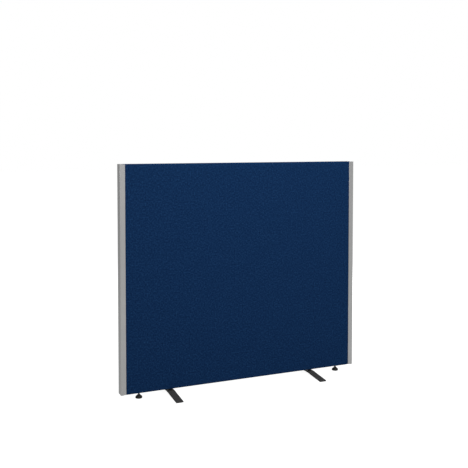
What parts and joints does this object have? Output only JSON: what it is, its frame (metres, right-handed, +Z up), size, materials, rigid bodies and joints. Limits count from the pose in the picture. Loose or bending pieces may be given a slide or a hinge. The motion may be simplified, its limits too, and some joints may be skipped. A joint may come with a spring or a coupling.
{
  "type": "acoustic divider screen",
  "caption": "Free-standing acoustic divider screen: fabric-covered panel with edge trims, on screw-in levelling glides and flat stabiliser bars that swivel under it.",
  "frame": {"origin": "on the floor, under the middle of the panel", "axes": "+X along the panel to the right, +Y from the front face to the back, +Z up"},
  "size_m": [1.4, 0.321, 1.231],
  "materials": {
    "timber": "planed softwood",
    "wood_screw": "yellow zinc plated",
    "hardboard": "pressed hardboard",
    "absorber": "bonded polyester fibre",
    "felt": "needled felt",
    "cover_fabric": "woven wool, matt",
    "staple_wire": "galvanised",
    "trim_aluminium": "satin grey powder coat on an extrusion",
    "trim_screw": "zinc plated",
    "strip_plastic": "satin",
    "cap_plastic": "satin moulded",
    "insert_steel": "zinc plated",
    "glide_plastic": "moulded black",
    "stud_steel": "blackened",
    "bar_steel": "fine black powder coat",
    "spacer_steel": "black",
    "washer_steel": "zinc plated",
    "bolt_steel": "blackened"
  },
  "bodies": {
    "panel": {"top_rail": "timber", "bottom_rail": "timber", "left_stile": "timber", "right_stile": "timber", "middle_stile": "timber", "frame_screws": "wood_screw", "left_barrier_board": "hardboard", "right_barrier_board": "hardboard", "front_left_absorber": "absorber", "front_right_absorber": "absorber", "back_left_absorber": "absorber", "back_right_absorber": "absorber", "front_felt": "felt", "back_felt": "felt", "fabric_cover": "cover_fabric", "cover_staples": "staple_wire", "left_edge_trim": "trim_aluminium", "right_edge_trim": "trim_aluminium", "left_trim_screws": "trim_screw", "right_trim_screws": "trim_screw", "left_cover_strip": "strip_plastic", "right_cover_strip": "strip_plastic", "left_top_cap": "cap_plastic", "left_bottom_cap": "cap_plastic", "right_top_cap": "cap_plastic", "right_bottom_cap": "cap_plastic", "left_glide_insert": "insert_steel", "right_glide_insert": "insert_steel", "left_bar_insert": "insert_steel", "right_bar_insert": "insert_steel", "left_bar_spacer": "spacer_steel", "right_bar_spacer": "spacer_steel", "left_bar_washer": "washer_steel", "right_bar_washer": "washer_steel", "left_bar_bolt": "bolt_steel", "right_bar_bolt": "bolt_steel"},
    "left_stabiliser": {"left_stabiliser_bar": "bar_steel"},
    "right_stabiliser": {"right_stabiliser_bar": "bar_steel"},
    "left_glide": {"left_glide_base": "glide_plastic"},
    "right_glide": {"right_glide_base": "glide_plastic"},
    "left_glide_stud": {"left_glide_stud": "stud_steel"},
    "right_glide_stud": {"right_glide_stud": "stud_steel"}
  },
  "joints": [
    {"name": "left_bar_swivel", "type": "hinge", "parent": "panel", "child": "left_stabiliser", "pos_m": [-0.425, 0, 0.0165], "axis": [0, 0, 1], "range_deg": [-75, 75]},
    {"name": "right_bar_swivel", "type": "hinge", "parent": "panel", "child": "right_stabiliser", "pos_m": [0.425, 0, 0.0165], "axis": [0, 0, 1], "range_deg": [-75, 75]},
    {"name": "left_glide_travel", "type": "slide", "parent": "panel", "child": "left_glide", "axis": [0, 0, 1], "range_m": [-0.012, 0.005]},
    {"name": "left_glide_turn", "type": "hinge", "parent": "left_glide", "child": "left_glide_stud", "pos_m": [-0.598, 0, 0.018], "axis": [0, 0, 1], "range_deg": [-3480, 1460]},
    {"name": "right_glide_travel", "type": "slide", "parent": "panel", "child": "right_glide", "axis": [0, 0, 1], "range_m": [-0.012, 0.005]},
    {"name": "right_glide_turn", "type": "hinge", "parent": "right_glide", "child": "right_glide_stud", "pos_m": [0.598, 0, 0.018], "axis": [0, 0, 1], "range_deg": [-3480, 1460]}
  ],
  "couplings": [
    {"joint": "left_glide_turn", "follows": "left_glide_travel", "rad_per_m": 5026.6},
    {"joint": "right_glide_turn", "follows": "right_glide_travel", "rad_per_m": 5026.6}
  ]
}
